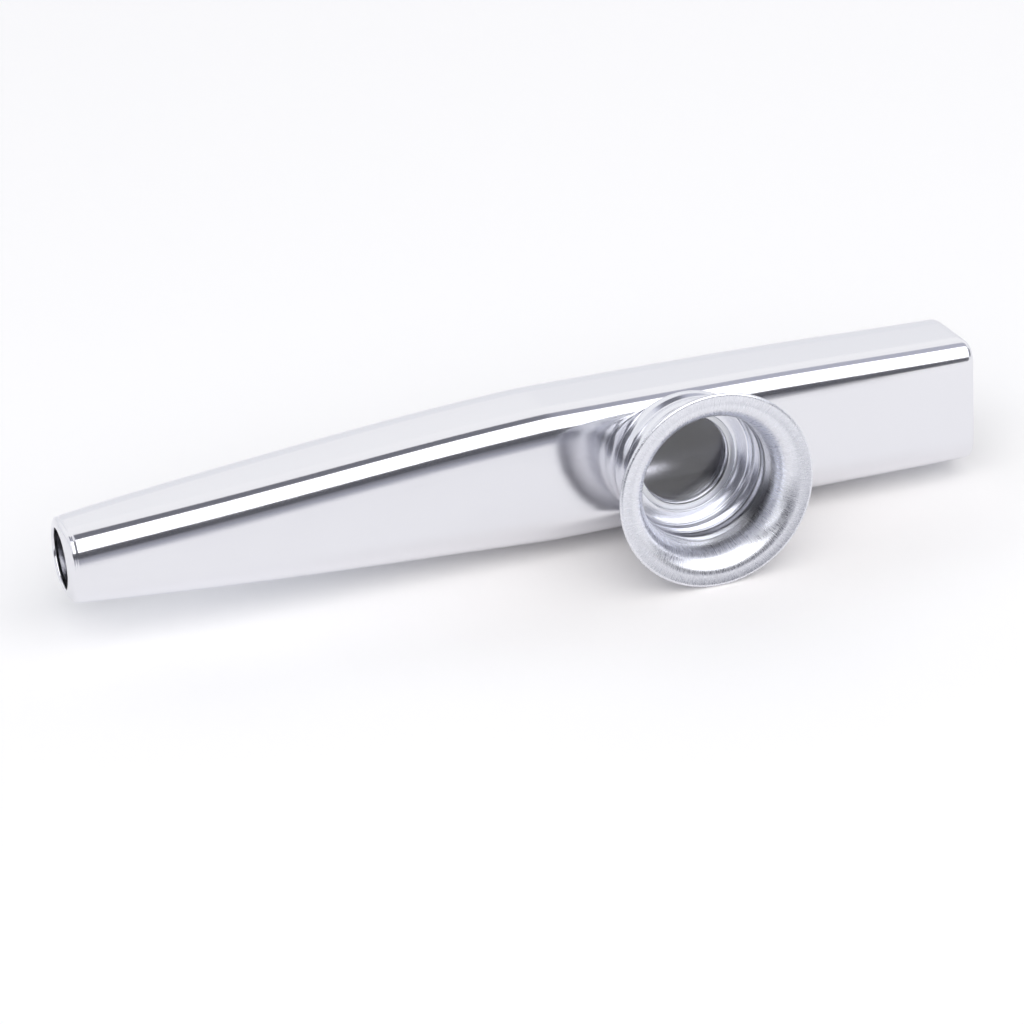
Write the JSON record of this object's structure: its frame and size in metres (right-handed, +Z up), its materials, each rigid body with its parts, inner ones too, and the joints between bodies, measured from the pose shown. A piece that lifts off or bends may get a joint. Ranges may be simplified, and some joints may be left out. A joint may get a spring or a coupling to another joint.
{
  "type": "kazoo",
  "caption": "Metal kazoo: a tapered tube with eased corners, open at both ends, with a threaded round turret on its front face, a flared screw-in horn and a thin resonator film.",
  "frame": {"origin": "centre of the bounding box on the surface that the kazoo lies on", "axes": "+X along the tube from the narrow outlet end to the wide mouth end, +Z up from the surface, -Y towards the side that the horn opens to"},
  "size_m": [0.1204, 0.0284, 0.0255],
  "materials": {
    "tube": "polished and anodised",
    "turret": "bright, rolled",
    "ring": "satin",
    "film": "smooth clear thin film",
    "horn": "bright, with a satin flare"
  },
  "bodies": {
    "tube": {"body_shell": "tube", "turret_socket": "turret"},
    "resonator": {"resonator_ring": "ring", "resonator_film": "film"},
    "screw_horn": {"horn": "horn"}
  },
  "joints": [
    {"name": "horn_turn", "type": "hinge", "parent": "tube", "child": "resonator", "pos_m": [0.0195, -0.00038, 0.01065], "axis": [0, -0.9833, 0.1821], "range_deg": [0, 480]},
    {"name": "horn_rise", "type": "slide", "parent": "resonator", "child": "screw_horn", "axis": [0, -0.9833, 0.1821], "range_m": [0, 0.004]}
  ],
  "couplings": [
    {"joint": "horn_rise", "follows": "horn_turn", "m_per_rad": 0.00047746}
  ]
}
